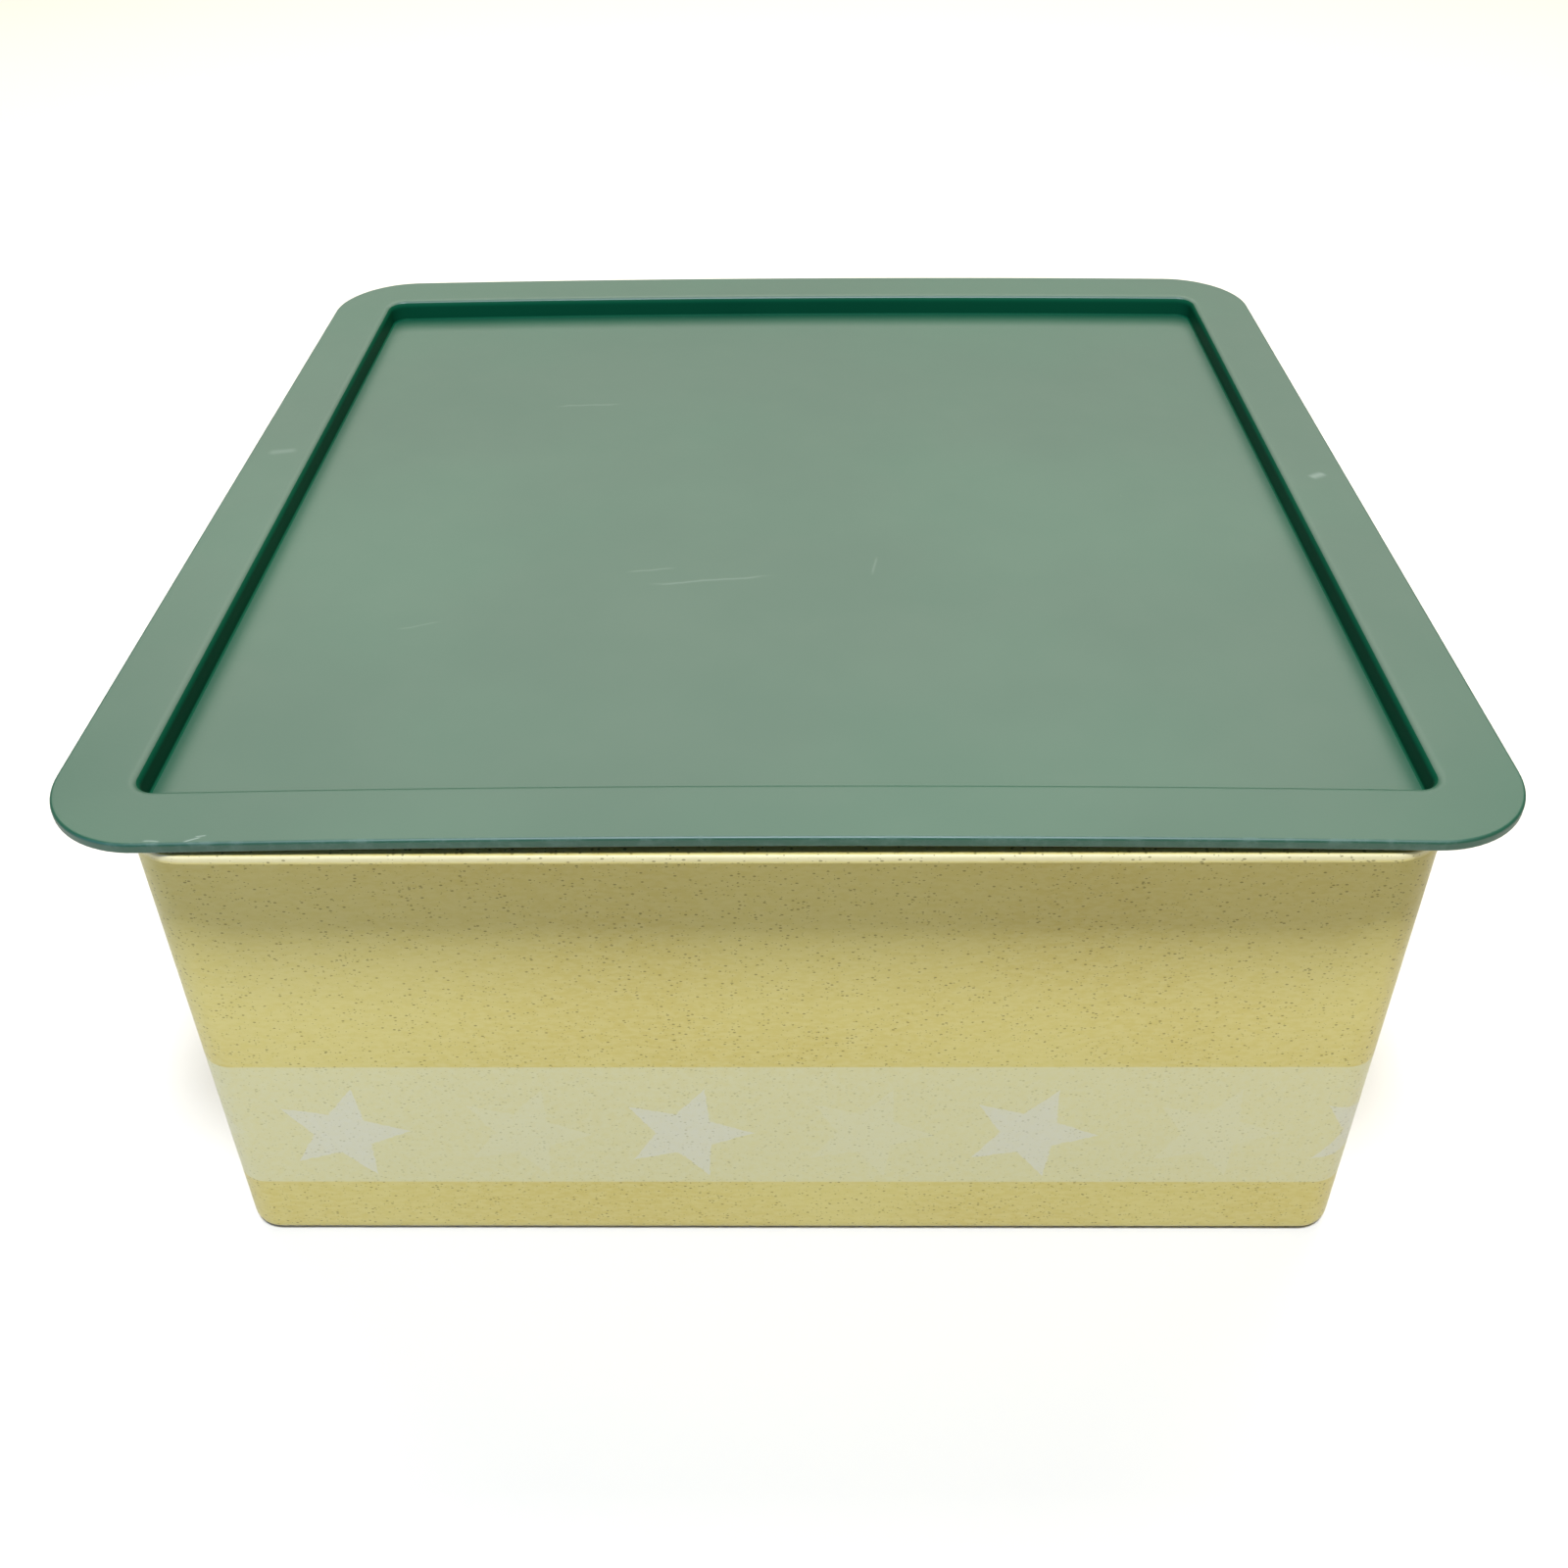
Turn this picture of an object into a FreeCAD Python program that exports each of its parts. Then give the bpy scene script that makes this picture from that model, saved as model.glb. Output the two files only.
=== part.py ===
import FreeCAD, Part
import math
import os

import Sketcher

# Square storage box: a moulded tub and a moulded lid whose sunken panel plugs into it.
# Frame: millimetres, +Z up, origin at the middle of the base. The front wall faces -Y.

SHEET = "Dimensions"

# Driving dimensions in millimetres: alias, value, what it is.
DRIVING = [
    ("tub_side", 273.0, "outside width and depth of the tub"),
    ("tub_corner_radius", 8.5, "plan radius of the tub's vertical corners, outside"),
    ("wall_thickness", 2.0, "tub wall"),
    ("rim_height", 135.2, "top of the tub's wall and of its rim lips"),
    ("base_edge_radius", 3.0, "outside round between wall and base"),
    ("floor_thickness", 2.6, "tub floor"),
    ("floor_edge_radius", 3.5, "inside round between wall and floor"),
    ("foot_recess_depth", 1.0, "how far the middle of the base is raised"),
    ("foot_recess_side", 246.0, "width and depth of the raised middle of the base"),
    ("foot_recess_radius", 10.0, "plan radius of the raised middle's corners"),
    ("lip_reach_side", 299.9, "width over the outer edges of two facing rim lips"),
    ("lip_length", 262.8, "length of each rim lip along its wall"),
    ("lip_end_radius", 13.4, "plan radius of a rim lip's ends"),
    ("lip_thickness", 2.2, "rim lip, top to bottom"),
    ("lip_edge_radius", 0.8, "round along the rim's outer top edge"),
    ("rim_inner_radius", 0.5, "round along the rim's inner top edge"),
    ("lid_side", 300.0, "width and depth of the lid's flange"),
    ("lid_corner_radius", 23.5, "plan radius of the flange's corners"),
    ("flange_thickness", 2.5, "lid flange"),
    ("flange_top_radius", 0.7, "round along the flange's outer top edge"),
    ("flange_low_radius", 0.7, "round along the flange's outer lower edge"),
    ("recess_side", 264.5, "width and depth of the sunken panel"),
    ("recess_corner_radius", 4.5, "plan radius of the sunken panel's corners"),
    ("recess_depth", 6.0, "from the flange's top to the sunken panel"),
    ("recess_top_radius", 2.0, "round where the flange turns down to the panel"),
    ("recess_foot_radius", 0.5, "round where the turned-down wall meets the panel"),
    ("panel_thickness", 2.2, "sunken panel"),
    ("plug_side", 268.0, "outside of the turned-down wall, a loose fit in the tub"),
    ("plug_corner_radius", 8.0, "plan radius of the plug's corners, outside"),
    ("plug_edge_radius", 1.5, "lead-in round along the plug's lower edge"),
    ("seat_gap", 0.3, "between the closed lid's flange and the tub's rim"),
]

TOLERANCE = 0.01


def add_sheet(doc):
    """Spreadsheet of the driving dimensions, one aliased row each."""
    sheet = doc.addObject("Spreadsheet::Sheet", SHEET)
    for row, (alias, value, meaning) in enumerate(DRIVING, start=1):
        sheet.set(f"A{row}", alias)
        sheet.set(f"B{row}", str(value))
        sheet.set(f"C{row}", meaning)
        sheet.setAlias(f"B{row}", alias)
    doc.recompute()
    return sheet


def cell(alias):
    """Expression that reads one driving dimension."""
    return f"{SHEET}.{alias}"


def add_body(doc, name):
    body = doc.addObject("PartDesign::Body", name)
    body.Label = name
    return body


def base_plane(body):
    """The body's own horizontal origin plane."""
    return next(plane for plane in body.Origin.OriginFeatures if plane.Role == "XY_Plane")


def rounded_rectangle(body, name, width, depth, radius, height):
    """Sketch of a rectangle with rounded corners, centred on the Z axis at the given height.

    width, depth, radius and height are expressions over the sheet.
    """
    sketch = body.newObject("Sketcher::SketchObject", name)
    sketch.AttachmentSupport = [(base_plane(body), "")]
    sketch.MapMode = "FlatFace"
    sketch.setExpression("AttachmentOffset.Base.z", height)

    # Start from a drawn size near enough for the solver, then let the sheet drive it.
    half, corner = 100.0, 5.0
    inner = half - corner
    runs = [
        ((-inner, -half), (inner, -half)),
        ((half, -inner), (half, inner)),
        ((inner, half), (-inner, half)),
        ((-half, inner), (-half, -inner)),
    ]
    centres = [(inner, -inner), (inner, inner), (-inner, inner), (-inner, -inner)]
    for start, end in runs:
        sketch.addGeometry(Part.LineSegment(FreeCAD.Vector(*start, 0), FreeCAD.Vector(*end, 0)), False)
    for quarter, centre in enumerate(centres):
        circle = Part.Circle(FreeCAD.Vector(*centre, 0), FreeCAD.Vector(0, 0, 1), corner)
        first = (quarter - 1) * math.pi / 2
        sketch.addGeometry(Part.ArcOfCircle(circle, first, first + math.pi / 2), False)

    start_point, end_point, centre_point = 1, 2, 3
    for line in range(4):
        arc = 4 + line
        next_line = (line + 1) % 4
        sketch.addConstraint(Sketcher.Constraint("Tangent", line, end_point, arc, start_point))
        sketch.addConstraint(Sketcher.Constraint("Tangent", arc, end_point, next_line, start_point))
        sketch.addConstraint(Sketcher.Constraint("Horizontal" if line % 2 == 0 else "Vertical", line))
    for arc in (5, 6, 7):
        sketch.addConstraint(Sketcher.Constraint("Equal", 4, arc))
    origin = (-1, 1)
    sketch.addConstraint(Sketcher.Constraint("Symmetric", 4, centre_point, 6, centre_point, *origin))
    for label, kind, from_line, to_line in (("width", "DistanceX", 3, 1), ("depth", "DistanceY", 0, 2)):
        index = sketch.addConstraint(
            Sketcher.Constraint(kind, from_line, start_point, to_line, start_point, 2 * half))
        sketch.renameConstraint(index, label)
    index = sketch.addConstraint(Sketcher.Constraint("Radius", 4, corner))
    sketch.renameConstraint(index, "radius")
    sketch.setExpression("Constraints.width", width)
    sketch.setExpression("Constraints.depth", depth)
    sketch.setExpression("Constraints.radius", radius)
    return sketch


def pad(doc, body, name, sketch, length):
    feature = body.newObject("PartDesign::Pad", name)
    feature.Profile = sketch
    feature.setExpression("Length", length)
    doc.recompute()
    return feature


def pocket(doc, body, name, sketch, length, upwards=False):
    """Pocket that must really remove material from the body."""
    before = body.Shape.Volume
    feature = body.newObject("PartDesign::Pocket", name)
    feature.Profile = sketch
    feature.Reversed = upwards
    feature.setExpression("Length", length)
    doc.recompute()
    if not feature.Shape.Volume < before:
        raise RuntimeError(f"{name} removes nothing")
    return feature


def level_edges(body, height, smallest_reach, largest_reach):
    """Names of the body's edges that lie flat at a height, between two distances from the Z axis.

    An edge's distance is that of its farthest point along X or Y.
    """
    names = []
    for index, edge in enumerate(body.Tip.Shape.Edges, start=1):
        box = edge.BoundBox
        reach = max(abs(box.XMin), abs(box.XMax), abs(box.YMin), abs(box.YMax))
        flat = abs(box.ZMin - height) < TOLERANCE and abs(box.ZMax - height) < TOLERANCE
        if flat and smallest_reach - TOLERANCE < reach < largest_reach + TOLERANCE:
            names.append(f"Edge{index}")
    return names


def fillet(doc, body, name, edges, radius):
    if not edges:
        raise RuntimeError(f"{name} finds no edges")
    rounded = body.Tip
    feature = body.newObject("PartDesign::Fillet", name)
    feature.Base = (rounded, edges)
    feature.setExpression("Radius", radius)
    doc.recompute()
    return feature


def square(body, name, side, radius, height):
    return rounded_rectangle(body, name, cell(side), cell(side), cell(radius), height)


def make_tub(doc, sheet):
    body = add_body(doc, "box_body")
    rim = sheet.rim_height

    outline = square(body, "tub_outline", "tub_side", "tub_corner_radius", "0 mm")
    pad(doc, body, "tub_block", outline, cell("rim_height"))

    # Rim lips stand out along the middle of each wall and stop short of the corners.
    lip_height = f"{cell('rim_height')} - {cell('lip_thickness')}"
    for name, width, depth in (
            ("front_and_back_lips", "lip_length", "lip_reach_side"),
            ("side_lips", "lip_reach_side", "lip_length")):
        lips = rounded_rectangle(
            body, f"{name}_outline", cell(width), cell(depth), cell("lip_end_radius"), lip_height)
        pad(doc, body, name, lips, cell("lip_thickness"))
    fillet(doc, body, "rim_round",
           level_edges(body, rim, 0, sheet.lip_reach_side), cell("lip_edge_radius"))
    fillet(doc, body, "base_round",
           level_edges(body, 0, 0, sheet.tub_side), cell("base_edge_radius"))

    # The cavity goes down from the rim, and the base is raised inside a foot ring.
    mouth = rounded_rectangle(
        body, "cavity_outline",
        f"{cell('tub_side')} - 2 * {cell('wall_thickness')}",
        f"{cell('tub_side')} - 2 * {cell('wall_thickness')}",
        f"{cell('tub_corner_radius')} - {cell('wall_thickness')}",
        cell("rim_height"))
    cavity_floor = f"{cell('foot_recess_depth')} + {cell('floor_thickness')}"
    pocket(doc, body, "cavity", mouth, f"{cell('rim_height')} - ({cavity_floor})")
    floor = sheet.foot_recess_depth + sheet.floor_thickness
    fillet(doc, body, "floor_round",
           level_edges(body, floor, 0, sheet.tub_side / 2), cell("floor_edge_radius"))
    inner_reach = sheet.tub_side / 2 - sheet.wall_thickness
    fillet(doc, body, "rim_inner_round",
           level_edges(body, rim, 0, inner_reach), cell("rim_inner_radius"))
    foot = square(body, "foot_recess_outline", "foot_recess_side", "foot_recess_radius", "0 mm")
    pocket(doc, body, "foot_recess", foot, cell("foot_recess_depth"), upwards=True)
    return body


def make_lid(doc, sheet):
    """Lid drawn with its flange's underside at zero, then placed on the tub's rim."""
    body = add_body(doc, "lid")
    top = sheet.flange_thickness
    panel_top = top - sheet.recess_depth
    panel_low = panel_top - sheet.panel_thickness
    plug_drop = (f"{cell('recess_depth')} + {cell('panel_thickness')} - {cell('flange_thickness')}")

    flange = square(body, "flange_outline", "lid_side", "lid_corner_radius", "0 mm")
    pad(doc, body, "flange", flange, cell("flange_thickness"))
    plug = square(body, "plug_outline", "plug_side", "plug_corner_radius", f"-({plug_drop})")
    pad(doc, body, "plug", plug, plug_drop)
    recess = square(body, "recess_outline", "recess_side", "recess_corner_radius",
                    cell("flange_thickness"))
    pocket(doc, body, "recess", recess, cell("recess_depth"))

    half_lid = sheet.lid_side / 2
    half_recess = sheet.recess_side / 2
    for height, side in ((top, "top"), (0, "low")):
        fillet(doc, body, f"flange_{side}_round",
               level_edges(body, height, sheet.plug_side / 2 + 1, half_lid), cell(f"flange_{side}_radius"))
    fillet(doc, body, "recess_top_round",
           level_edges(body, top, 0, half_recess), cell("recess_top_radius"))
    fillet(doc, body, "recess_foot_round",
           level_edges(body, panel_top, 0, half_recess), cell("recess_foot_radius"))
    fillet(doc, body, "plug_round",
           level_edges(body, panel_low, 0, sheet.plug_side / 2), cell("plug_edge_radius"))
    body.setExpression("Placement.Base.z", f"{cell('rim_height')} + {cell('seat_gap')}")
    return body


def check(doc, bodies):
    """Stop before anything is written if the model is not sound."""
    for item in doc.Objects:
        if "Invalid" in item.State or "Error" in item.State:
            raise RuntimeError(f"{item.Name} is {item.State}")
    for body in bodies:
        shape = body.Shape
        if shape.isNull() or not shape.isValid() or len(shape.Solids) != 1:
            raise RuntimeError(f"{body.Label} is not one valid solid")
        print(body.Label, "volume", round(shape.Volume), "box", shape.BoundBox)


def main():
    doc = FreeCAD.newDocument("storage_box")
    sheet = add_sheet(doc)
    bodies = [make_tub(doc, sheet), make_lid(doc, sheet)]
    doc.recompute()
    check(doc, bodies)
    os.makedirs("parts", exist_ok=True)
    for body in bodies:
        body.Shape.exportStep(f"parts/{body.Label}.step")


main()
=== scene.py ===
import math

import bmesh
import bpy
from mathutils import Matrix, Vector


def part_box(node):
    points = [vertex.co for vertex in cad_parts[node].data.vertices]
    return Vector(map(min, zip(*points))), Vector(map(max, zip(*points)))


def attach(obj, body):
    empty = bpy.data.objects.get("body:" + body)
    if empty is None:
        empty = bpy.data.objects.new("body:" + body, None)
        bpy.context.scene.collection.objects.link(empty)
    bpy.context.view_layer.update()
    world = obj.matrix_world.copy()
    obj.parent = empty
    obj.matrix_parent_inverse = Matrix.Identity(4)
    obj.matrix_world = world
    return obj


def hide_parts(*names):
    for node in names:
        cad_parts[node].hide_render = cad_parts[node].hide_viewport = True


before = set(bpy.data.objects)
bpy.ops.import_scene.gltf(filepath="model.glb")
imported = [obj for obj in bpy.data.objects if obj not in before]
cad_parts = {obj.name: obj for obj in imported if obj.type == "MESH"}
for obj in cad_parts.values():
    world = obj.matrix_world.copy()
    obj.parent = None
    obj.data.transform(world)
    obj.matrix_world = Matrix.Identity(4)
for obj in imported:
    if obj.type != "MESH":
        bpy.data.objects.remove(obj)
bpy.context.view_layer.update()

# Square storage box: a speckled cream tub with a printed band of stars, and a deep green lid.
# Metres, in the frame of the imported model: the origin is the middle of the base, the front faces -Y.

MM = 0.001
TUB_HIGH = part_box("box_body")[1]
LID_LOW, LID_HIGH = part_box("lid")

# ---------------------------------------------------------------- sizes of the tub
RIM_Z = TUB_HIGH.z
LIP_REACH = TUB_HIGH.x                    # from the axis to the outer edge of a rim lip
WALL_HALF = LIP_REACH - 13.45 * MM        # from the axis to the outside of a wall
WALL_RADIUS = 8.5 * MM                    # plan radius of the upright corners
WALL_THICKNESS = 2.0 * MM
LIP_END_RADIUS = 13.4 * MM
LIP_HALF_LENGTH = WALL_HALF - 5.1 * MM
LIP_THICKNESS = 2.2 * MM
LIP_EDGE_RADIUS = 0.8 * MM
LIP_UNDER_RADIUS = 0.35 * MM
RIM_INNER_RADIUS = 0.5 * MM
BASE_RADIUS = 3.0 * MM
FLOOR_Z = 3.6 * MM
FLOOR_RADIUS = 3.5 * MM                   # inside, between the wall and the floor
FOOT_HALF = 123.0 * MM
FOOT_CORNER_RADIUS = 10.0 * MM
FOOT_DEPTH = 1.0 * MM
FOOT_EDGE_RADIUS = 0.4 * MM

# ---------------------------------------------------------------- sizes of the lid
LID_HALF = LID_HIGH.x
LID_TOP = LID_HIGH.z
LID_RADIUS = 23.5 * MM
FLANGE_THICKNESS = 2.5 * MM
FLANGE_TOP_RADIUS = 0.7 * MM
FLANGE_LOW_RADIUS = 0.7 * MM
RECESS_HALF = LID_HALF - 17.75 * MM
RECESS_CORNER_RADIUS = 4.5 * MM
RECESS_DEPTH = 6.0 * MM
RECESS_TOP_RADIUS = 2.0 * MM
RECESS_FOOT_RADIUS = 0.5 * MM
PLUG_HALF = LID_HALF - 16.0 * MM
PLUG_CORNER_RADIUS = 8.0 * MM
PLUG_EDGE_RADIUS = 1.5 * MM
FRONT_CROWN = 2.1 * MM                    # how far the lid's middle has warped up, at the front edge
BACK_CROWN = 1.3 * MM                     # and at the back edge
CORNER_DROP = 0.28 * MM                   # how far the warp lets the lid's sides down

# ---------------------------------------------------------------- the print on the tub
BAND_LOW, BAND_HIGH = 19.3 * MM, 60.3 * MM
STAR_HEIGHT = 37.3 * MM
STAR_PITCH = 81.8 * MM                    # from one strong star to the next
STRONG_STAR_START = -24.2 * MM            # the strong star nearest the middle of the front
FAINT_STAR_START = 19.0 * MM
STAR_RADIUS = 16.2 * MM
STAR_INNER_SHARE = 0.44
STAR_POINTS = 5
STARS_EACH_WAY = 6                        # stars of a row on each side of its first, up to the back seam
STAR_SWAY = 3.0                           # degrees that a star may be turned by, either way
STAR_SWAY_STEP = 1.3                      # radians of sway from one star to the next
STRONG_STAR_SWAY, FAINT_STAR_SWAY = -0.1, 2.0     # where in the sway each row begins
STAR_SOFT = 0.45 * MM                     # half width of a star's soft edge
STAR_RAGGED = 1.6 * MM                    # how far wear moves that edge in and out
BAND_SOFT = 0.15 * MM                     # half width of the band's soft edge

QUARTER = math.pi / 2
EIGHTH = math.pi / 4


# ================================================================ plan outlines
def stations(straight, joined, corner):
    """Places along an eighth of a rounded square, from the middle of a side to the diagonal.

    Each is (share of the straight run, angle round the corner). The first group of steps ends where
    a rim lip starts to curve in, the second where its end meets the wall, the third at the diagonal.
    """
    run = WALL_HALF - WALL_RADIUS
    curve_start = (LIP_HALF_LENGTH - LIP_END_RADIUS) / run
    places = [(curve_start * i / straight, 0.0) for i in range(straight + 1)]
    places += [(curve_start + (1 - curve_start) * i / 2, 0.0) for i in (1, 2)]
    meeting = lip_meeting(0.0)[0]
    places += [(1.0, meeting * i / (joined - 2)) for i in range(1, joined - 1)]
    places += [(1.0, meeting + (EIGHTH - meeting) * i / corner) for i in range(1, corner + 1)]
    return places


def lip_meeting(inset):
    """Where the inset outline of a front lip's end crosses that of the wall's corner.

    Gives the angle on the wall's corner, and that on the lip's end, both from the front.
    """
    wall = Vector((WALL_HALF - WALL_RADIUS, -(WALL_HALF - WALL_RADIUS)))
    lip = Vector((LIP_HALF_LENGTH - LIP_END_RADIUS, -(LIP_REACH - LIP_END_RADIUS)))
    wall_radius, lip_radius = WALL_RADIUS - inset, LIP_END_RADIUS - inset
    gap = lip - wall
    along = (wall_radius ** 2 - lip_radius ** 2 + gap.length_squared) / (2 * gap.length)
    across = math.sqrt(max(wall_radius ** 2 - along ** 2, 0.0))
    ahead = gap.normalized()
    side = Vector((-ahead.y, ahead.x))
    point = wall + ahead * along + side * across
    if (wall + ahead * along - side * across).x > point.x:
        point = wall + ahead * along - side * across
    on_wall, on_lip = point - wall, point - lip
    return math.atan2(on_wall.x, -on_wall.y), math.atan2(on_lip.x, -on_lip.y)


def rounded_eighth(half, radius, places):
    """Front-right eighth of a rounded square, from the front's middle to the diagonal."""
    run = half - radius
    return [(run * share + radius * math.sin(turn), -run - radius * math.cos(turn))
            for share, turn in places]


def lipped_eighth(inset, straight, joined, corner):
    """The same eighth of the rim's outline, out round the front lip and back to the corner."""
    start = LIP_HALF_LENGTH - LIP_END_RADIUS
    on_wall, on_lip = lip_meeting(inset)
    points = [(start * i / straight, -(LIP_REACH - inset)) for i in range(straight + 1)]
    reach, radius = LIP_REACH - LIP_END_RADIUS, LIP_END_RADIUS - inset
    for i in range(1, joined + 1):
        turn = on_lip * i / joined
        points.append((start + radius * math.sin(turn), -reach - radius * math.cos(turn)))
    run, radius = WALL_HALF - WALL_RADIUS, WALL_RADIUS - inset
    for i in range(1, corner + 1):
        turn = on_wall + (EIGHTH - on_wall) * i / corner
        points.append((run + radius * math.sin(turn), -run - radius * math.cos(turn)))
    return points


def whole_outline(eighth):
    """Closed outline from one eighth, anticlockwise from the middle of the back."""
    right_quarter = eighth + [(-y, -x) for x, y in reversed(eighth[:-1])]
    outline = []
    for turn in (2, 3, 0, 1):
        cosine, sine = round(math.cos(turn * QUARTER)), round(math.sin(turn * QUARTER))
        outline += [(cosine * x - sine * y, sine * x + cosine * y) for x, y in right_quarter[:-1]]
    return outline


# ================================================================ meshes from stacked outlines
def round_steps(steps):
    """Angles from 0 to a quarter turn."""
    return [QUARTER * i / steps for i in range(steps + 1)]


def stacked_mesh(name, rings, marks=None, second_levels=()):
    """Closed skin through rings of equal length, its first and last ring filled to a middle point.

    marks holds each ring's height on the print, and fills the UV map "wrap" with the distance round
    the wall and that height, in metres. second_levels are the rings above which the skin takes the
    second material.
    """
    mesh = bpy.data.meshes.new(name)
    built = bmesh.new()
    count = len(rings[0])
    wrap = built.loops.layers.uv.new("wrap") if marks else None
    around = distance_round(count) if marks else None
    rows = [[built.verts.new(point) for point in ring] for ring in rings]
    for level in range(len(rows) - 1):
        lower, upper = rows[level], rows[level + 1]
        for i in range(count):
            j = (i + 1) % count
            face = built.faces.new((lower[i], lower[j], upper[j], upper[i]))
            face.material_index = 1 if level in second_levels else 0
            if marks:
                corners = ((i, level), (i + 1, level), (i + 1, level + 1), (i, level + 1))
                for loop, (place, row) in zip(face.loops, corners):
                    loop[wrap].uv = (around[place], marks[row])
    for row, flip in ((rows[0], True), (rows[-1], False)):
        middle = built.verts.new(sum((vertex.co for vertex in row), Vector()) / count)
        for i in range(count):
            pair = (row[i], row[(i + 1) % count])
            built.faces.new((middle, pair[1], pair[0]) if flip else (middle, pair[0], pair[1]))
    bmesh.ops.remove_doubles(built, verts=built.verts, dist=1e-6)
    bmesh.ops.recalc_face_normals(built, faces=built.faces)
    for face in built.faces:
        face.smooth = True
    built.to_mesh(mesh)
    built.free()
    return mesh


def distance_round(count):
    """Distance round the tub's wall at each station, 0 at the middle of the front."""
    outline = whole_outline(rounded_eighth(WALL_HALF, WALL_RADIUS, TUB_STATIONS))
    assert len(outline) == count
    steps = [math.dist(outline[i], outline[(i + 1) % count]) for i in range(count)]
    places = [0.0]
    for step in steps:
        places.append(places[-1] + step)
    return [place - places[-1] / 2 for place in places]


def add_piece(name, mesh, body, node):
    """Scene object for a mesh that stands for a CAD node, with flats kept flat by weighted normals."""
    piece = bpy.data.objects.new(name, mesh)
    bpy.context.scene.collection.objects.link(piece)
    normals = piece.modifiers.new("flat_faces", "WEIGHTED_NORMAL")
    normals.weight = 100
    normals.keep_sharp = True
    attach(piece, body)
    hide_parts(node)
    return piece


# ================================================================ the tub
TUB_STRAIGHT, TUB_JOINED, TUB_CORNER = 8, 10, 4
TUB_STATIONS = stations(TUB_STRAIGHT, TUB_JOINED, TUB_CORNER)
OFF_PRINT = 1.0                           # a height on the print that no part of the band reaches
FLAT_SHARES = (0.12, 0.3, 0.5, 0.7, 0.85, 0.95, 0.99)


def tub_mesh():
    rings, marks = [], []

    def ring(half, radius, height, printed=False):
        outline = whole_outline(rounded_eighth(half, radius, TUB_STATIONS))
        rings.append([(x, y, height) for x, y in outline])
        marks.append(height if printed else OFF_PRINT)

    def rim_ring(inset, height, printed=False):
        outline = whole_outline(lipped_eighth(inset, TUB_STRAIGHT, TUB_JOINED, TUB_CORNER))
        rings.append([(x, y, height) for x, y in outline])
        marks.append(height if printed else OFF_PRINT)

    # Underside: the raised middle, then down to the foot ring.
    for share in FLAT_SHARES:
        ring(FOOT_HALF * share, FOOT_CORNER_RADIUS * share, FOOT_DEPTH)
    ring(FOOT_HALF, FOOT_CORNER_RADIUS, FOOT_DEPTH)
    for turn in round_steps(3):
        out = FOOT_EDGE_RADIUS * (1 - math.cos(turn))
        ring(FOOT_HALF + out, FOOT_CORNER_RADIUS + out, FOOT_EDGE_RADIUS * (1 - math.sin(turn)))
    ring(FOOT_HALF + 1 * MM, FOOT_CORNER_RADIUS, 0.0)

    # Foot ring, base round and outside of the wall.
    flat_half, flat_radius = WALL_HALF - BASE_RADIUS, WALL_RADIUS - BASE_RADIUS
    ring(flat_half - 0.4 * MM, flat_radius, 0.0)
    for turn in round_steps(9):
        out = BASE_RADIUS * math.sin(turn)
        ring(flat_half + out, flat_radius + out, BASE_RADIUS * (1 - math.cos(turn)), printed=True)
    wall_steps = 12
    lip_low = RIM_Z - LIP_THICKNESS
    for i in range(wall_steps + 1):
        share = i / wall_steps
        height = (BASE_RADIUS + 0.4 * MM) * (1 - share) + (lip_low - 0.5 * MM) * share
        ring(WALL_HALF, WALL_RADIUS, height, printed=True)
    ring(WALL_HALF, WALL_RADIUS, lip_low, printed=True)

    # Rim lips: underside, edge and rounded top.
    for turn in round_steps(3):
        rim_ring(LIP_UNDER_RADIUS * (1 - math.sin(turn)), lip_low + LIP_UNDER_RADIUS * (1 - math.cos(turn)))
    for turn in round_steps(6):
        rim_ring(LIP_EDGE_RADIUS * (1 - math.cos(turn)), RIM_Z - LIP_EDGE_RADIUS * (1 - math.sin(turn)))

    # Inside of the wall and the floor.
    inner_half, inner_radius = WALL_HALF - WALL_THICKNESS, WALL_RADIUS - WALL_THICKNESS
    for turn in round_steps(4):
        out = RIM_INNER_RADIUS * (1 - math.sin(turn))
        ring(inner_half + out, inner_radius + out, RIM_Z - RIM_INNER_RADIUS * (1 - math.cos(turn)))
    for share in (0.02, 0.25, 0.5, 0.75, 0.98):
        height = (RIM_Z - RIM_INNER_RADIUS) * (1 - share) + (FLOOR_Z + FLOOR_RADIUS) * share
        ring(inner_half, inner_radius, height)
    for turn in round_steps(7):
        cut = FLOOR_RADIUS * (1 - math.cos(turn))
        ring(inner_half - cut, inner_radius - cut, FLOOR_Z + FLOOR_RADIUS * (1 - math.sin(turn)))
    floor_half, floor_radius = inner_half - FLOOR_RADIUS, inner_radius - FLOOR_RADIUS
    for share in reversed(FLAT_SHARES):
        ring(floor_half * share, floor_radius * share, FLOOR_Z)
    return stacked_mesh("tub_shell", rings, marks)


# ================================================================ the lid
LID_STATIONS = [(i / 14, 0.0) for i in range(15)] + [(1.0, EIGHTH * i / 10) for i in range(1, 11)]


def crown(x, y):
    """How far the warped lid stands above its flat shape: bent about the front-to-back line."""
    backward = (y / LID_HALF + 1) / 2
    rise = FRONT_CROWN * (1 - backward) + BACK_CROWN * backward
    return rise * (1 - (x / LID_HALF) ** 2) - CORNER_DROP


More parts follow.
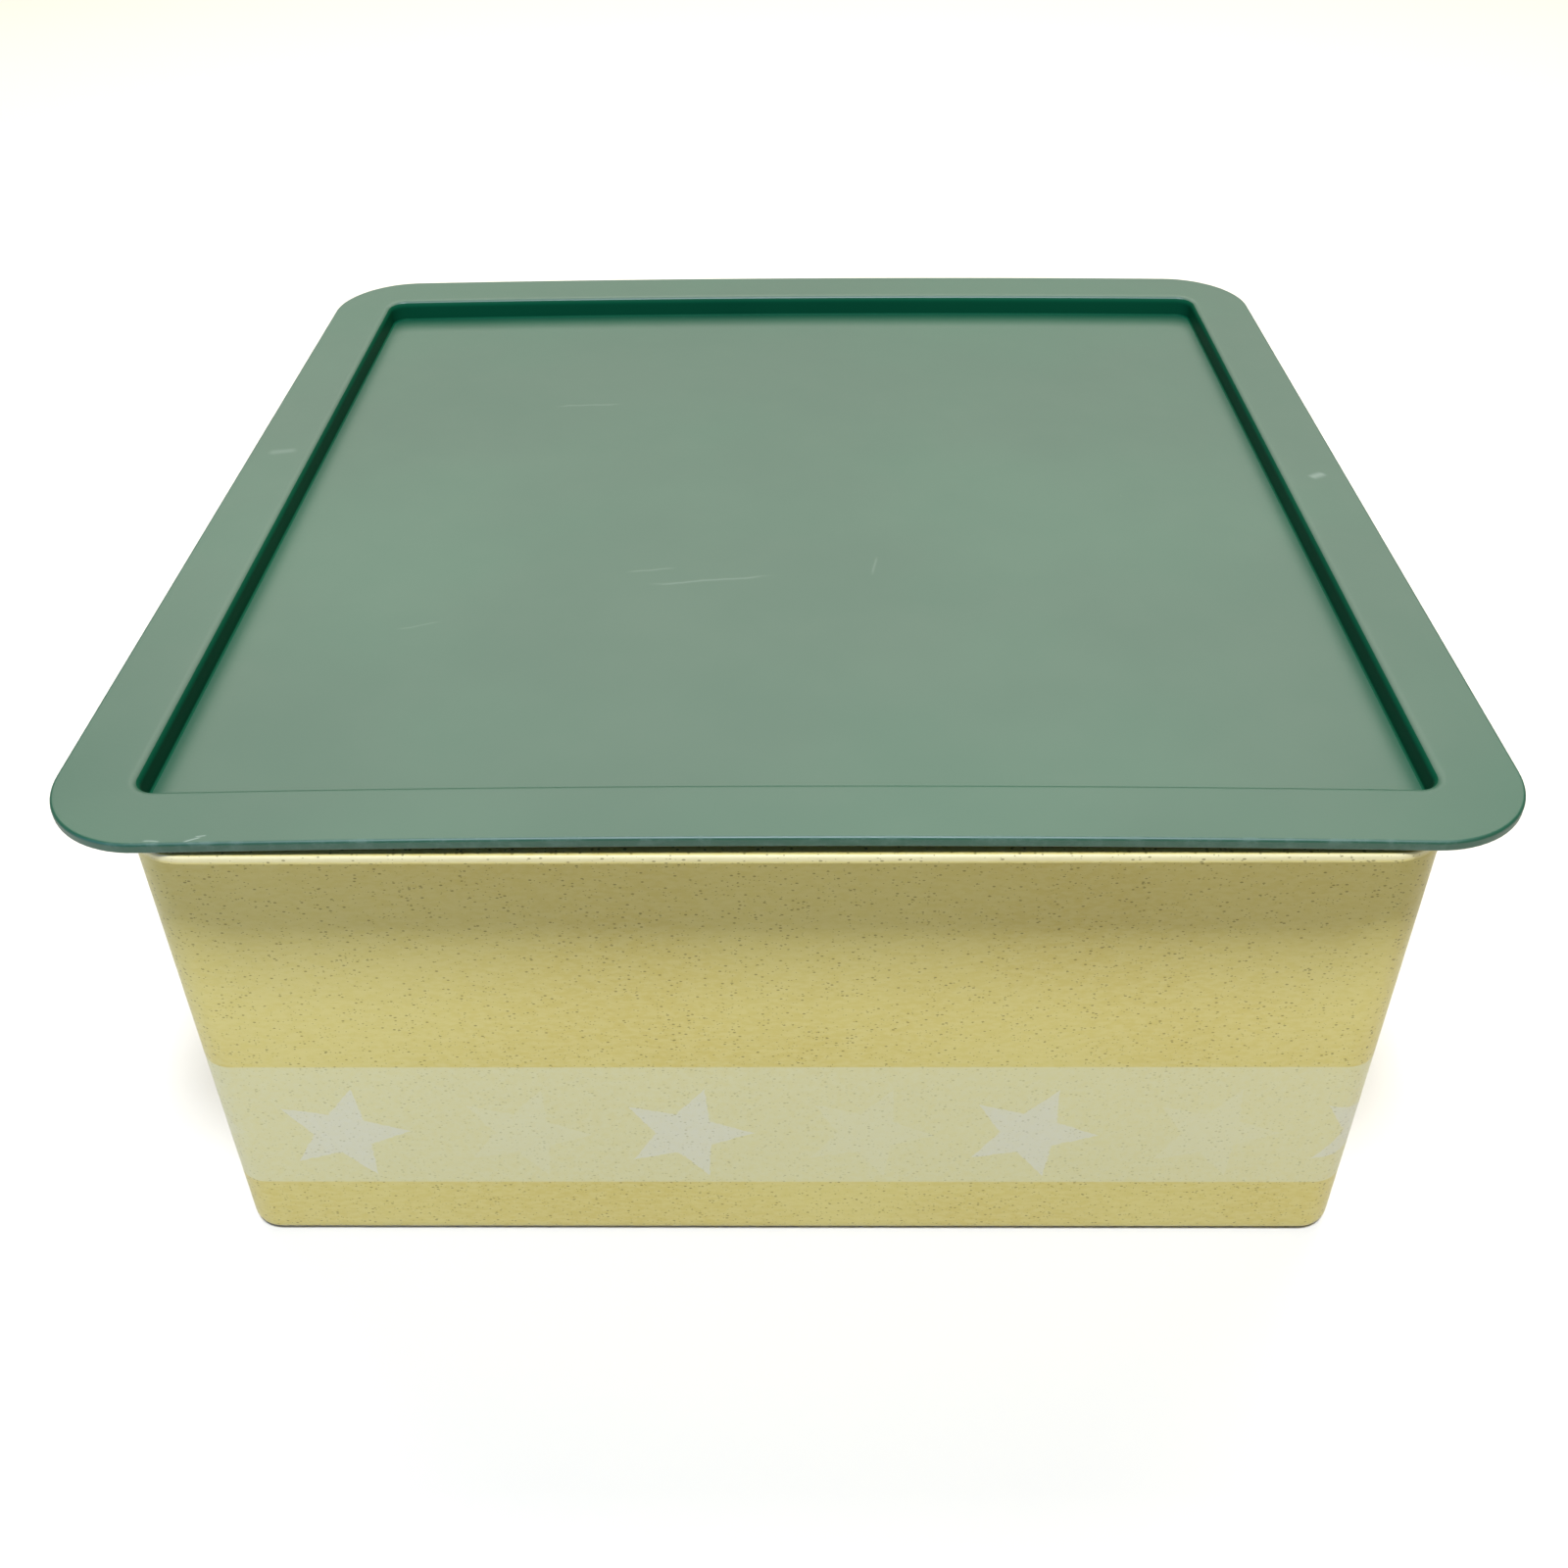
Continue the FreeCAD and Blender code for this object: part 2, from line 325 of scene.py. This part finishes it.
def lid_mesh():
    rings = []

    def ring(half, radius, height):
        outline = whole_outline(rounded_eighth(half, radius, LID_STATIONS))
        rings.append([(x, y, height + crown(x, y)) for x, y in outline])

    # Underside of the panel, outwards, then up the plug to the flange.
    top, low = LID_TOP, LID_TOP - FLANGE_THICKNESS
    panel_low = LID_LOW.z
    plug_flat, plug_flat_radius = PLUG_HALF - PLUG_EDGE_RADIUS, PLUG_CORNER_RADIUS - PLUG_EDGE_RADIUS
    for share in FLAT_SHARES:
        ring(plug_flat * share, plug_flat_radius * share, panel_low)
    for turn in round_steps(6):
        out = PLUG_EDGE_RADIUS * math.sin(turn)
        ring(plug_flat + out, plug_flat_radius + out, panel_low + PLUG_EDGE_RADIUS * (1 - math.cos(turn)))
    for share in (0.1, 0.9, 1.0):
        height = (panel_low + PLUG_EDGE_RADIUS) * (1 - share) + low * share
        ring(PLUG_HALF, PLUG_CORNER_RADIUS, height)

    # Flange, outwards underneath, round its edge and inwards on top.
    under_half, under_radius = LID_HALF - FLANGE_LOW_RADIUS, LID_RADIUS - FLANGE_LOW_RADIUS
    for share in (0.05, 0.5, 0.97):
        ring(PLUG_HALF * (1 - share) + under_half * share,
             PLUG_CORNER_RADIUS * (1 - share) + under_radius * share, low)
    for turn in round_steps(6):
        out = FLANGE_LOW_RADIUS * math.sin(turn)
        ring(under_half + out, under_radius + out, low + FLANGE_LOW_RADIUS * (1 - math.cos(turn)))
    for turn in round_steps(8):
        cut = FLANGE_TOP_RADIUS * (1 - math.cos(turn))
        ring(LID_HALF - cut, LID_RADIUS - cut, top - FLANGE_TOP_RADIUS * (1 - math.sin(turn)))
    edge_half, edge_radius = LID_HALF - FLANGE_TOP_RADIUS, LID_RADIUS - FLANGE_TOP_RADIUS
    turned_half, turned_radius = RECESS_HALF + RECESS_TOP_RADIUS, RECESS_CORNER_RADIUS + RECESS_TOP_RADIUS
    for share in (0.97, 0.5, 0.04):
        ring(turned_half * (1 - share) + edge_half * share,
             turned_radius * (1 - share) + edge_radius * share, top)

    # Down into the recess and across the sunken panel.
    for turn in round_steps(8):
        cut = RECESS_TOP_RADIUS * math.sin(turn)
        ring(turned_half - cut, turned_radius - cut, top - RECESS_TOP_RADIUS * (1 - math.cos(turn)))
    wall_start = len(rings) - 5           # where the round has turned down by half
    panel_top = top - RECESS_DEPTH
    for turn in round_steps(4):
        cut = RECESS_FOOT_RADIUS * (1 - math.cos(turn))
        ring(RECESS_HALF - cut, RECESS_CORNER_RADIUS - cut,
             panel_top + RECESS_FOOT_RADIUS * (1 - math.sin(turn)))
    wall_levels = range(wall_start, len(rings) - 1)
    panel_half, panel_radius = RECESS_HALF - RECESS_FOOT_RADIUS, RECESS_CORNER_RADIUS - RECESS_FOOT_RADIUS
    for share in reversed(FLAT_SHARES):
        ring(panel_half * share, panel_radius * share, panel_top)
    return stacked_mesh("lid_shell", rings, second_levels=wall_levels)


# ================================================================ node building
class Graph:
    """Short calls for wiring a material's nodes. Each gives an output socket."""

    def __init__(self, name):
        self.material = bpy.data.materials.new(name)
        self.material.use_nodes = True
        self.tree = self.material.node_tree
        self.shader = self.tree.nodes["Principled BSDF"]

    def node(self, kind, **settings):
        made = self.tree.nodes.new(kind)
        for key, value in settings.items():
            setattr(made, key, value)
        return made

    def feed(self, socket, value):
        if isinstance(value, bpy.types.NodeSocket):
            self.tree.links.new(value, socket)
        else:
            socket.default_value = value

    def math(self, operation, *values):
        made = self.node("ShaderNodeMath", operation=operation)
        for socket, value in zip(made.inputs, values):
            self.feed(socket, value)
        return made.outputs[0]

    def ramp(self, value, low, high, out_low=0.0, out_high=1.0):
        """Smooth step of a value between two limits."""
        made = self.node("ShaderNodeMapRange", interpolation_type="SMOOTHSTEP")
        for socket, number in zip(made.inputs, (value, low, high, out_low, out_high)):
            self.feed(socket, number)
        return made.outputs[0]

    def noise(self, scale, detail=2.0, roughness=0.5, stretch=None):
        """Noise over the object's own place, at a scale per metre."""
        place = self.node("ShaderNodeTexCoord").outputs["Object"]
        if stretch:
            mapping = self.node("ShaderNodeMapping")
            self.feed(mapping.inputs["Vector"], place)
            mapping.inputs["Scale"].default_value = stretch
            place = mapping.outputs[0]
        made = self.node("ShaderNodeTexNoise")
        self.feed(made.inputs["Vector"], place)
        for key, number in (("Scale", scale), ("Detail", detail), ("Roughness", roughness)):
            made.inputs[key].default_value = number
        return made.outputs["Fac"]

    def mix(self, share, first, second):
        made = self.node("ShaderNodeMix", data_type="RGBA", blend_type="MIX")
        colour = [socket for socket in made.inputs if socket.type == "RGBA"]
        self.feed(made.inputs[0], share)
        self.feed(colour[0], first)
        self.feed(colour[1], second)
        return next(socket for socket in made.outputs if socket.type == "RGBA")

    def bump(self, height, strength, distance):
        made = self.node("ShaderNodeBump")
        made.inputs["Strength"].default_value = strength
        made.inputs["Distance"].default_value = distance
        self.feed(made.inputs["Height"], height)
        return made.outputs[0]

    def finish(self, colour, roughness, normal, **constants):
        self.feed(self.shader.inputs["Base Color"], colour)
        self.feed(self.shader.inputs["Roughness"], roughness)
        self.feed(self.shader.inputs["Normal"], normal)
        for key, number in constants.items():
            self.shader.inputs[key.replace("_", " ")].default_value = number
        return self.material


def colour(red, green, blue):
    """Linear colour from an sRGB one given in 0 to 255."""
    def linear(value):
        value /= 255
        return value / 12.92 if value <= 0.04045 else ((value + 0.055) / 1.055) ** 2.4
    return (linear(red), linear(green), linear(blue), 1.0)


# ================================================================ the tub's material
CREAM = colour(190, 177, 103)
CREAM_PALE = colour(196, 185, 118)
CREAM_WARM = colour(186, 170, 94)
BAND = colour(192, 188, 143)
FAINT_STAR = colour(193, 190, 152)
STRONG_STAR = colour(192, 190, 164)
# painted highlight colour for the edge of the rim lip
PAINTED_RIM_HIGHLIGHT = colour(214, 208, 170)
SPECK = colour(80, 72, 24)

FINE_MOTTLE = 0.6                         # the strengths here are shares, from 0 to 1
FAINT_STAR_PRINT = 0.55
PAINTED_RIM_HIGHLIGHT_STRENGTH = 0.6
DUST_STRENGTH, FLECK_STRENGTH = 0.60, 0.50
PRINT_COVER = 0.45                        # how much of a speck the print hides
SPECK_FLATNESS = 1.7                      # a speck's width over its height
TUB_ROUGHNESS = (0.31, 0.38)
GRAIN_DEPTH = 0.1 * MM


def star_mask(graph, around, height, start, turn_phase):
    """1 inside the five-pointed stars of one row, which repeat round the wall."""
    index = graph.math("ROUND", graph.math("DIVIDE", graph.math("SUBTRACT", around, start), STAR_PITCH))
    index = graph.math("MINIMUM", graph.math("MAXIMUM", index, -STARS_EACH_WAY), STARS_EACH_WAY)
    centre = graph.math("MULTIPLY_ADD", index, STAR_PITCH, start)
    across = graph.math("SUBTRACT", around, centre)
    up = graph.math("SUBTRACT", height, STAR_HEIGHT)
    reach = graph.math("SQRT", graph.math("ADD", graph.math("MULTIPLY", across, across),
                                          graph.math("MULTIPLY", up, up)))
    # Each star is turned a little differently, as if stamped by hand.
    sway = graph.math("SINE", graph.math("MULTIPLY_ADD", index, STAR_SWAY_STEP, turn_phase))
    angle = graph.math("ADD", graph.math("ARCTAN2", up, across),
                       graph.math("MULTIPLY", sway, math.radians(STAR_SWAY)))
    point = math.tau / STAR_POINTS
    folded = graph.math("PINGPONG", angle, point / 2)
    # Straight side from a tip to the next inner corner, in polar form.
    inner = STAR_RADIUS * STAR_INNER_SHARE
    from_tip = graph.math("MULTIPLY", graph.math("SINE", folded), STAR_RADIUS)
    from_inner = graph.math("MULTIPLY", graph.math("SINE", graph.math("SUBTRACT", point / 2, folded)), inner)
    edge = graph.math("DIVIDE", STAR_RADIUS * inner * math.sin(point / 2),
                      graph.math("ADD", from_tip, from_inner))
    ragged = graph.math("MULTIPLY", graph.math("SUBTRACT", graph.noise(700.0, 3.0), 0.5), STAR_RAGGED)
    inside = graph.math("ADD", graph.math("SUBTRACT", edge, reach), ragged)
    return graph.ramp(inside, -STAR_SOFT, STAR_SOFT)


def specks(graph, scale, size, chance):
    """Scattered flat flecks: 1 at a fleck's middle, 0 away from it.

    size is in cells, of which scale fit in a metre. chance is the share of cells with a fleck.
    """
    flattened = graph.node("ShaderNodeVectorMath", operation="MULTIPLY")
    graph.feed(flattened.inputs[0], graph.node("ShaderNodeTexCoord").outputs["Object"])
    flattened.inputs[1].default_value = (1.0, 1.0, SPECK_FLATNESS)
    cells = graph.node("ShaderNodeTexVoronoi", feature="F1", distance="EUCLIDEAN")
    graph.feed(cells.inputs["Vector"], flattened.outputs[0])
    cells.inputs["Scale"].default_value = scale
    pick = graph.node("ShaderNodeSeparateColor")
    graph.feed(pick.inputs[0], cells.outputs["Color"])
    chosen = graph.math("LESS_THAN", pick.outputs[0], chance)
    grown = graph.math("MULTIPLY_ADD", pick.outputs[1], size, size * 0.5)
    near = graph.math("SUBTRACT", 1.0, graph.ramp(
        graph.math("DIVIDE", cells.outputs["Distance"], grown), 0.55, 1.0))
    return graph.math("MULTIPLY", chosen, near)


def tub_material():
    graph = Graph("speckled_cream_moulding")
    split = graph.node("ShaderNodeSeparateXYZ")
    graph.feed(split.inputs[0], graph.node("ShaderNodeUVMap", uv_map="wrap").outputs[0])
    around, height = split.outputs[0], split.outputs[1]

    # Moulded stock: broad and fine mottling.
    broad = graph.ramp(graph.noise(14.0, 3.0), 0.35, 0.65)
    fine = graph.ramp(graph.noise(420.0, 3.0, 0.6, (1.0, 1.0, 2.2)), 0.3, 0.7)
    base = graph.mix(broad, CREAM_WARM, CREAM)
    base = graph.mix(graph.math("MULTIPLY", fine, FINE_MOTTLE), base, CREAM_PALE)

    # Printed band with two rows of stars, thinner where the print is patchy.
    above_low = graph.ramp(height, BAND_LOW - BAND_SOFT, BAND_LOW + BAND_SOFT)
    above_high = graph.ramp(height, BAND_HIGH - BAND_SOFT, BAND_HIGH + BAND_SOFT)
    band = graph.math("MULTIPLY", above_low, graph.math("SUBTRACT", 1.0, above_high))
    patchy = graph.ramp(graph.noise(520.0, 4.0, 0.65), 0.25, 0.75, 0.70, 1.0)
    base = graph.mix(graph.math("MULTIPLY", band, patchy), base, BAND)
    faint = graph.math("MULTIPLY", star_mask(graph, around, height, FAINT_STAR_START, FAINT_STAR_SWAY),
                       FAINT_STAR_PRINT)
    base = graph.mix(graph.math("MULTIPLY", faint, patchy), base, FAINT_STAR)
    strong = star_mask(graph, around, height, STRONG_STAR_START, STRONG_STAR_SWAY)
    base = graph.mix(graph.math("MULTIPLY", strong, patchy), base, STRONG_STAR)

    # Painted highlight: the edge of the rim lip, below its flat top, is painted paler than the walls, as if
    # lit.
    place = graph.node("ShaderNodeSeparateXYZ")
    graph.feed(place.inputs[0], graph.node("ShaderNodeTexCoord").outputs["Object"])
    z = place.outputs[2]
    edge = graph.ramp(z, RIM_Z - LIP_THICKNESS * 0.9, RIM_Z - LIP_THICKNESS * 0.45)
    rim = graph.math("MULTIPLY", edge, graph.math("LESS_THAN", z, RIM_Z - 0.15 * MM))
    base = graph.mix(graph.math("MULTIPLY", rim, PAINTED_RIM_HIGHLIGHT_STRENGTH), base, PAINTED_RIM_HIGHLIGHT)

    # Dark flecks in the stock, which show through the print.
    dust = graph.math("MULTIPLY", specks(graph, scale=900.0, size=0.30, chance=0.60), DUST_STRENGTH)
    flecks = graph.math("MULTIPLY", specks(graph, scale=480.0, size=0.10, chance=0.14), FLECK_STRENGTH)
    dark = graph.math("MAXIMUM", dust, flecks)
    veiled = graph.math("SUBTRACT", 1.0, graph.math("MULTIPLY", band, PRINT_COVER))
    base = graph.mix(graph.math("MULTIPLY", dark, veiled), base, SPECK)

    grain = graph.noise(900.0, 2.0)
    roughness = graph.ramp(graph.noise(60.0, 3.0), 0.3, 0.7, *TUB_ROUGHNESS)
    return graph.finish(base, roughness, graph.bump(grain, 0.12, GRAIN_DEPTH), Specular_IOR_Level=0.2)


# ================================================================ the lid's material
GREEN = (0.0020, 0.060, 0.026, 1.0)
GREEN_DEEP = (0.0015, 0.052, 0.023, 1.0)
# pale colour of the scratches, which are wear, and of the rim's broken patches, which are partly wear and
# partly a painted highlight
PALE_WEAR_AND_HIGHLIGHT = colour(176, 190, 176)
LID_ROUGHNESS, LID_HAZE, RUBBED_ROUGHNESS = 0.46, 0.025, 0.14     # the last two are added to the first
RUBBED_HIGHLIGHT_STRENGTH = 0.07
RUBBED_FROM, RUBBED_TO = LID_HALF - 1.2 * MM, LID_HALF - 0.3 * MM
SCRATCHED_ABOVE = LID_LOW.z + 3 * MM      # the underside has no scratches
SCRATCH_WANDER = 3.0 * MM

# Scratches on the lid: middle in mm, length in mm, direction in degrees, half width in mm, strength.
SCRATCHES = (
    ((-60.0, 62.0), 22.0, 4.0, 0.30, 0.10),
    ((-19.0, -42.0), 34.0, 7.0, 0.35, 0.09),
    ((-34.0, -37.0), 14.0, 12.0, 0.30, 0.08),
    ((92.0, 3.0), 5.0, 0.0, 0.40, 0.30),
    ((142.0, 4.0), 6.0, 35.0, 1.0, 0.16),
    ((-141.0, 22.0), 9.0, 8.0, 1.0, 0.08),
    ((22.0, -35.0), 10.0, 80.0, 0.25, 0.07),
    ((-88.0, -62.0), 12.0, 20.0, 0.25, 0.06),
    ((-115.0, -148.4), 4.0, 25.0, 0.18, 0.26),
    ((-113.6, -147.3), 2.5, 10.0, 0.16, 0.22),
    ((-123.0, -149.2), 4.0, 0.0, 0.18, 0.22),
)


def scratch_mask(graph, x, y):
    """Thin worn strokes, each faded towards its ends."""
    total = 0.0
    wander = graph.math("MULTIPLY", graph.math("SUBTRACT", graph.noise(90.0, 2.0), 0.5), SCRATCH_WANDER)
    for (middle_x, middle_y), length, degrees, half_width, strength in SCRATCHES:
        cosine, sine = math.cos(math.radians(degrees)), math.sin(math.radians(degrees))
        from_x = graph.math("SUBTRACT", x, middle_x * MM)
        from_y = graph.math("SUBTRACT", graph.math("SUBTRACT", y, middle_y * MM), wander)
        along = graph.math("ADD", graph.math("MULTIPLY", from_x, cosine),
                           graph.math("MULTIPLY", from_y, sine))
        across = graph.math("SUBTRACT", graph.math("MULTIPLY", from_y, cosine),
                            graph.math("MULTIPLY", from_x, sine))
        thin = graph.ramp(graph.math("ABSOLUTE", across), 0.0, half_width * 2 * MM, strength, 0.0)
        ends = graph.ramp(graph.math("ABSOLUTE", along), length * 0.25 * MM, length * 0.5 * MM, 1.0, 0.0)
        total = graph.math("MAXIMUM", total, graph.math("MULTIPLY", thin, ends))
    return total


def lid_material(name, shine):
    """Satin green stock. shine is the specular level, set very low on the copy for the recess's wall, which
    paints shade there by taking away its sheen.
    """
    graph = Graph(name)
    split = graph.node("ShaderNodeSeparateXYZ")
    graph.feed(split.inputs[0], graph.node("ShaderNodeTexCoord").outputs["Object"])
    x, y, z = split.outputs

    base = graph.mix(graph.ramp(graph.noise(9.0, 3.0), 0.35, 0.65), GREEN_DEEP, GREEN)
    on_top = graph.math("GREATER_THAN", z, SCRATCHED_ABOVE)
    scratches = graph.math("MULTIPLY", scratch_mask(graph, x, y), on_top)

    # The flange's rim is a little rubbed, in broken patches that are rougher and paler; the paler colour is
    # partly wear and partly a painted highlight along the edge.
    reach = graph.math("MAXIMUM", graph.math("ABSOLUTE", x), graph.math("ABSOLUTE", y))
    rim = graph.ramp(reach, RUBBED_FROM, RUBBED_TO)
    broken = graph.math("MULTIPLY", rim, graph.ramp(graph.noise(240.0, 4.0, 0.7), 0.45, 0.65))
    worn = graph.math("MAXIMUM", scratches, graph.math("MULTIPLY", broken, RUBBED_HIGHLIGHT_STRENGTH))
    base = graph.mix(worn, base, PALE_WEAR_AND_HIGHLIGHT)

    haze = graph.ramp(graph.noise(26.0, 4.0, 0.6), 0.3, 0.7, 0.0, LID_HAZE)
    rubbed = graph.math("MULTIPLY", broken, RUBBED_ROUGHNESS)
    roughness = graph.math("ADD", graph.math("ADD", haze, LID_ROUGHNESS), rubbed)
    grain = graph.noise(1400.0, 2.0)
    return graph.finish(base, roughness, graph.bump(grain, 0.10, GRAIN_DEPTH), Specular_IOR_Level=shine)


# ================================================================ stage, lights and camera
MIDDLE = (0.0, 0.0, 0.1)                  # a point inside the box, for the lights to aim at


def floor():
    size = 4.0                            # half of its side
    mesh = bpy.data.meshes.new("floor")
    corners = [(-size, -size, 0), (size, -size, 0), (size, size, 0), (-size, size, 0)]
    mesh.from_pydata(corners, [], [(0, 1, 2, 3)])
    plane = bpy.data.objects.new("floor", mesh)
    bpy.context.scene.collection.objects.link(plane)
    graph = Graph("pale_floor")
    graph.shader.inputs["Base Color"].default_value = (0.61, 0.59, 0.50, 1.0)
    graph.shader.inputs["Roughness"].default_value = 0.9
    graph.shader.inputs["Specular IOR Level"].default_value = 0.1
    mesh.materials.append(graph.material)


def area_light(name, place, target, size, power, tint):
    """Rectangular soft light, size in metres as (width, height), aimed at a point."""
    lamp = bpy.data.lights.new(name, "AREA")
    lamp.shape = "RECTANGLE"
    lamp.size, lamp.size_y = size
    lamp.energy = power
    lamp.color = tint
    light = bpy.data.objects.new(name, lamp)
    light.location = place
    light.rotation_euler = (Vector(target) - Vector(place)).to_track_quat("-Z", "Y").to_euler()
    bpy.context.scene.collection.objects.link(light)


def towards(azimuth, elevation, distance, target=MIDDLE):
    """Point at a distance from the target. Azimuth 0 is in front of the box, 180 behind it."""
    turn, rise = math.radians(azimuth), math.radians(elevation)
    flat = distance * math.cos(rise)
    return (target[0] + flat * math.sin(turn), target[1] - flat * math.cos(turn),
            target[2] + distance * math.sin(rise))


def lights():
    area_light("key", towards(4, 68, 2.6), MIDDLE, (0.7, 0.5), 107.0, (0.925, 0.97, 1.165))
    area_light("back_glow", towards(180, 49, 1.8), MIDDLE, (2.6, 1.6), 50.5, (1.0, 0.925, 0.84))
    area_light("left_window", towards(-52, 18, 0.75), (-0.12, -0.1, 0.07), (0.3, 0.3), 1.0, (0.25, 0.45, 1.0))
    world = bpy.data.worlds.new("studio")
    world.use_nodes = True
    background = world.node_tree.nodes["Background"]
    background.inputs["Color"].default_value = (1.0, 0.97, 0.86, 1.0)
    background.inputs["Strength"].default_value = 0.115
    bpy.context.scene.world = world


CAMERA_PLACE = (0.00385, -0.38880, 0.33725)
CAMERA_PITCH = 37.67                      # degrees below level
CAMERA_YAW = -0.85                        # degrees to the right of straight back, so slightly left
CAMERA_ROLL = -0.66                       # degrees
CAMERA_LENS = 36.92                       # millimetres on the default 36 mm sensor


def camera():
    data = bpy.data.cameras.new("camera")
    data.lens = CAMERA_LENS
    data.clip_start = 0.01
    seen = bpy.data.objects.new("camera", data)
    turn = Matrix.Rotation(math.radians(-CAMERA_YAW), 4, "Z")
    tilt = Matrix.Rotation(math.radians(90 - CAMERA_PITCH), 4, "X")
    roll = Matrix.Rotation(math.radians(CAMERA_ROLL), 4, "Z")
    seen.matrix_world = Matrix.Translation(CAMERA_PLACE) @ turn @ tilt @ roll
    bpy.context.scene.collection.objects.link(seen)
    bpy.context.scene.camera = seen


# ================================================================ assembly
camera()
lights()
floor()
bpy.context.scene.view_settings.view_transform = "Standard"

tub = add_piece("tub", tub_mesh(), "box", "box_body")
tub.data.materials.append(tub_material())
cover = add_piece("cover", lid_mesh(), "lid", "lid")
cover.data.materials.append(lid_material("deep_green_moulding", 0.7))
# The recess's wall and foot take a copy of the green with almost no sheen: painted shade that keeps them
# dark.
cover.data.materials.append(lid_material("deep_green_recess_painted_shade", 0.03))
